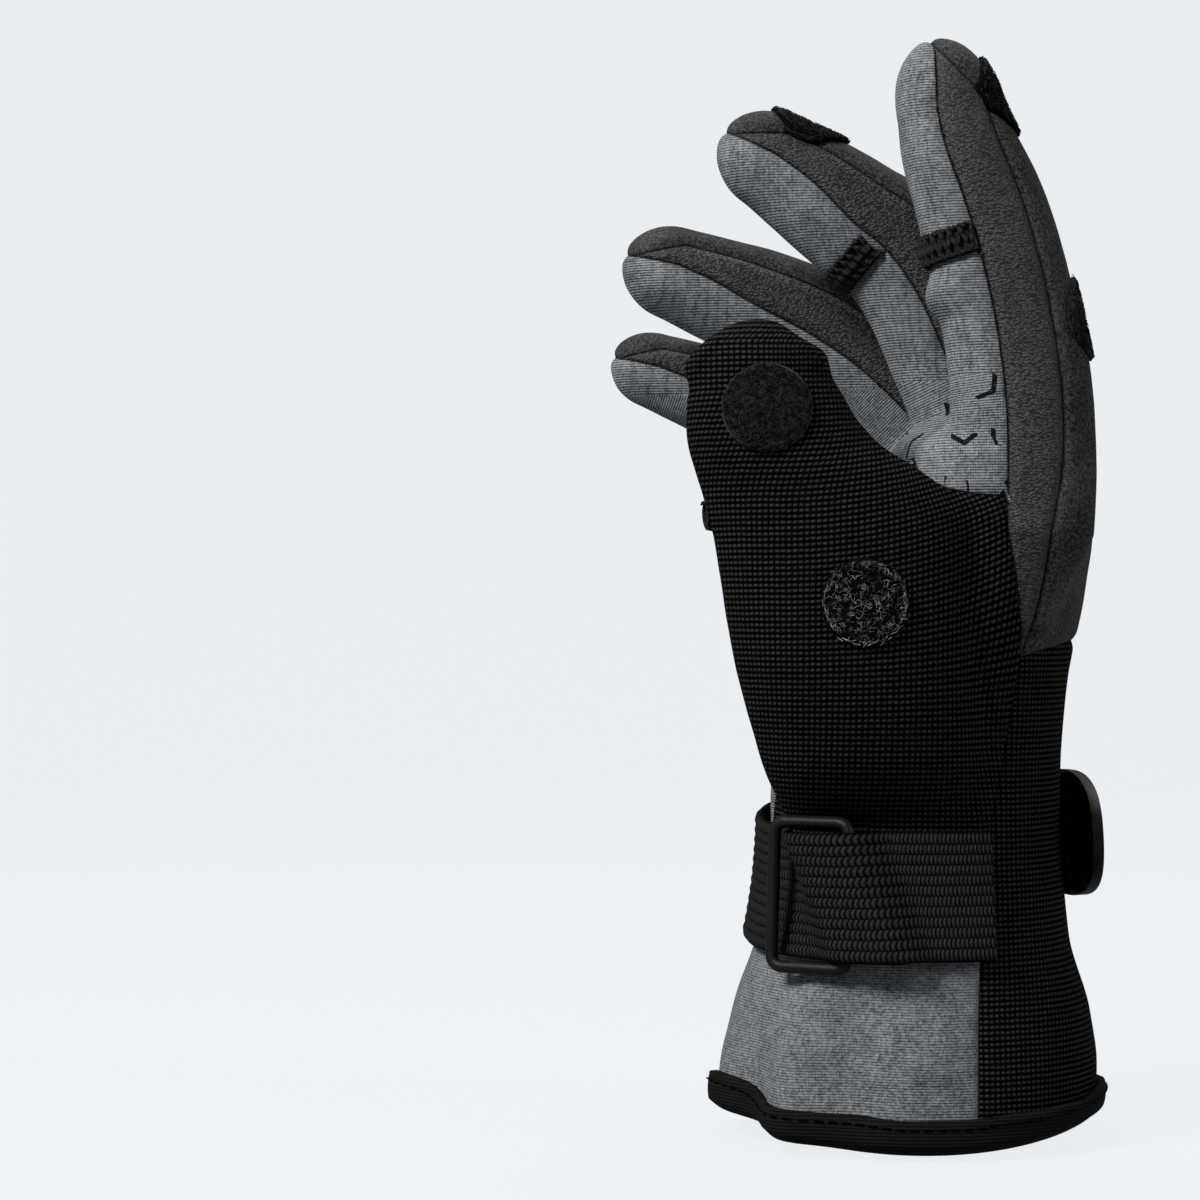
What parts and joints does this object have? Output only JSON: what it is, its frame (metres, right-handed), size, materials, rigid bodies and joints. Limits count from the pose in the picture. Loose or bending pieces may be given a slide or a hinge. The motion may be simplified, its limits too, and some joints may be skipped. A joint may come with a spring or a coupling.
{
  "type": "fishing glove",
  "caption": "Right-hand stretch fishing glove in its worn shape, with fold-back thumb, index and middle tips, grained finger sides and a buckled elastic wrist strap.",
  "frame": {"origin": "middle of the hand opening, level with the lowest point of the hem; the glove is held up at this opening, as a wrist holds it", "axes": "+Z from the opening to the fingertips, +X to the back of the hand, -Y to the thumb side"},
  "size_m": [0.1045, 0.1032, 0.2257],
  "materials": {
    "palm_knit": "matt grey heather knit",
    "back_fabric": "matt black stretch fabric",
    "side_grain": "fine pebbled grain, low sheen",
    "rib_knit": "black ribbed grid knit",
    "strap_elastic": "dark ribbed elastic webbing",
    "moulded_plastic": "matt black",
    "binding_tape": "matt black stretch binding",
    "overlock_thread": "black overlock thread",
    "hook_and_loop": "black pile"
  },
  "bodies": {
    "root": {"palm": "palm_knit", "index_tip_palm": "palm_knit", "middle_tip_palm": "palm_knit", "thumb_tip_palm": "palm_knit", "cuff_palm": "palm_knit", "hand_back": "back_fabric", "thumb_gusset": "rib_knit", "cuff_back": "rib_knit", "strip_index_thumb_side": "side_grain", "strip_index_little_side": "side_grain", "strip_middle_thumb_side": "side_grain", "strip_middle_little_side": "side_grain", "strip_ring_thumb_side": "side_grain", "strip_ring_little_side": "side_grain", "strip_little_thumb_side": "side_grain", "strip_little_little_side": "side_grain", "hem_binding": "binding_tape", "wrist_strap": "strap_elastic", "strap_tab": "moulded_plastic", "wrist_ring": "moulded_plastic", "slit_trim_index": "overlock_thread", "slit_trim_middle": "overlock_thread", "slit_trim_thumb": "overlock_thread", "dot_index_tip": "hook_and_loop", "dot_index_knuckle": "hook_and_loop", "dot_middle_tip": "hook_and_loop", "dot_middle_knuckle": "hook_and_loop", "dot_thumb_tip": "hook_and_loop", "dot_thumb_ball": "hook_and_loop"}
  },
  "joints": []
}
